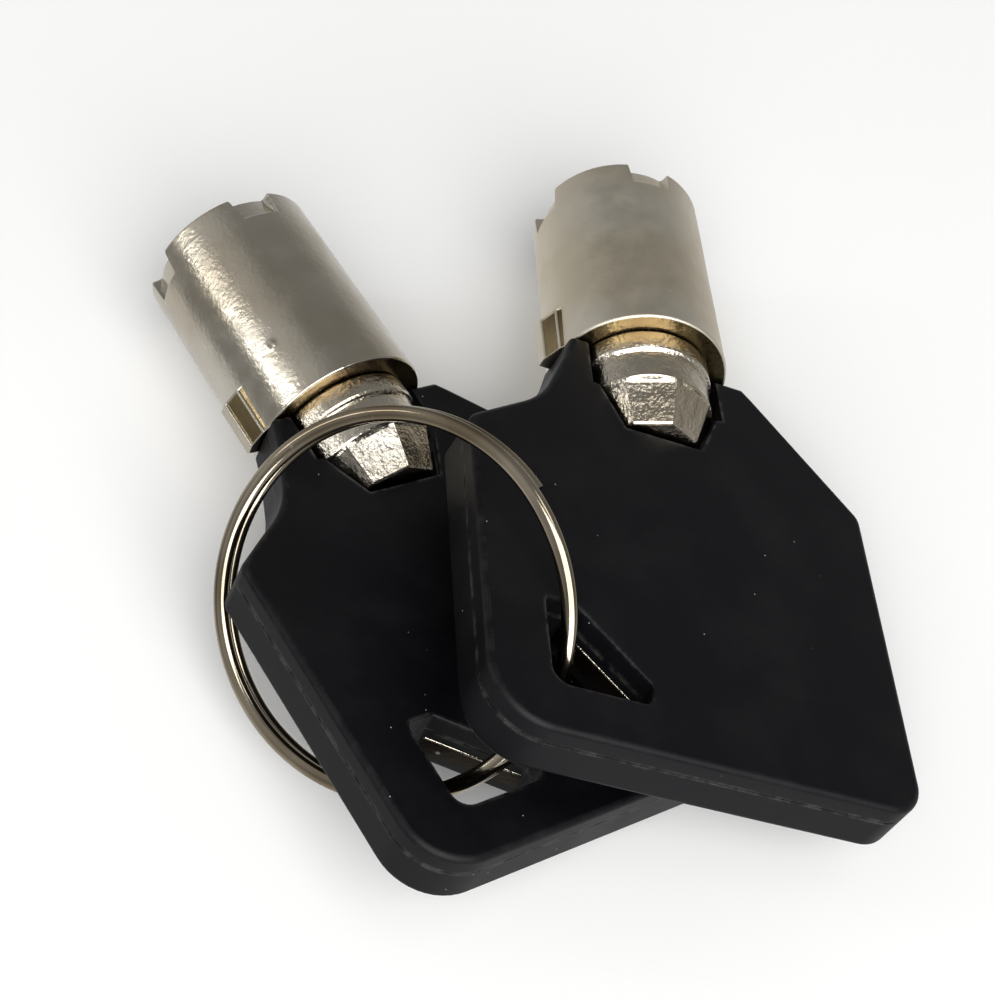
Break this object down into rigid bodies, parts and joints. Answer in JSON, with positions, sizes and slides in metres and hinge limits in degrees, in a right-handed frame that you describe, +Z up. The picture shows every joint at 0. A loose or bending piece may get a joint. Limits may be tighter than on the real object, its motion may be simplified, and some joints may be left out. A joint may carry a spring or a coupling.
{
  "type": "tubular keys on a split ring",
  "caption": "Matching tubular lock keys with notched hollow barrels and flat plastic bows, held together by a split key ring and lying on a table.",
  "frame": {"origin": "centre of the bounding box's underside, on the table", "axes": "+Y along the left key's barrel towards its mouth, +Z up from the table, +X towards the right key"},
  "size_m": [0.0373, 0.046, 0.0164],
  "materials": {
    "barrel_metal": "satin nickel plate over fine turning, warm champagne grey",
    "insert_metal": "nickel plate over a cast surface",
    "bow_plastic": "black satin moulded plastic",
    "ring_metal": "bright nickel plate"
  },
  "bodies": {
    "left_key": {"left_barrel": "barrel_metal", "left_shank_insert": "insert_metal", "left_bow_front_shell": "bow_plastic", "left_bow_back_shell": "bow_plastic"},
    "ring": {"split_ring": "ring_metal"},
    "right_key": {"right_barrel": "barrel_metal", "right_shank_insert": "insert_metal", "right_bow_front_shell": "bow_plastic", "right_bow_back_shell": "bow_plastic"}
  },
  "joints": [
    {"name": "ring swings in left bow hole", "type": "hinge", "parent": "left_key", "child": "ring", "pos_m": [-0.01198, -0.01115, 0.00631], "axis": [0.7108, -0.2555, 0.6553], "range_deg": [0, 75]},
    {"name": "right key swings on ring", "type": "hinge", "parent": "ring", "child": "right_key", "pos_m": [-0.00719, -0.01022, 0.01143], "axis": [0.5382, 0.4981, 0.6799], "range_deg": [-60, 0]}
  ]
}
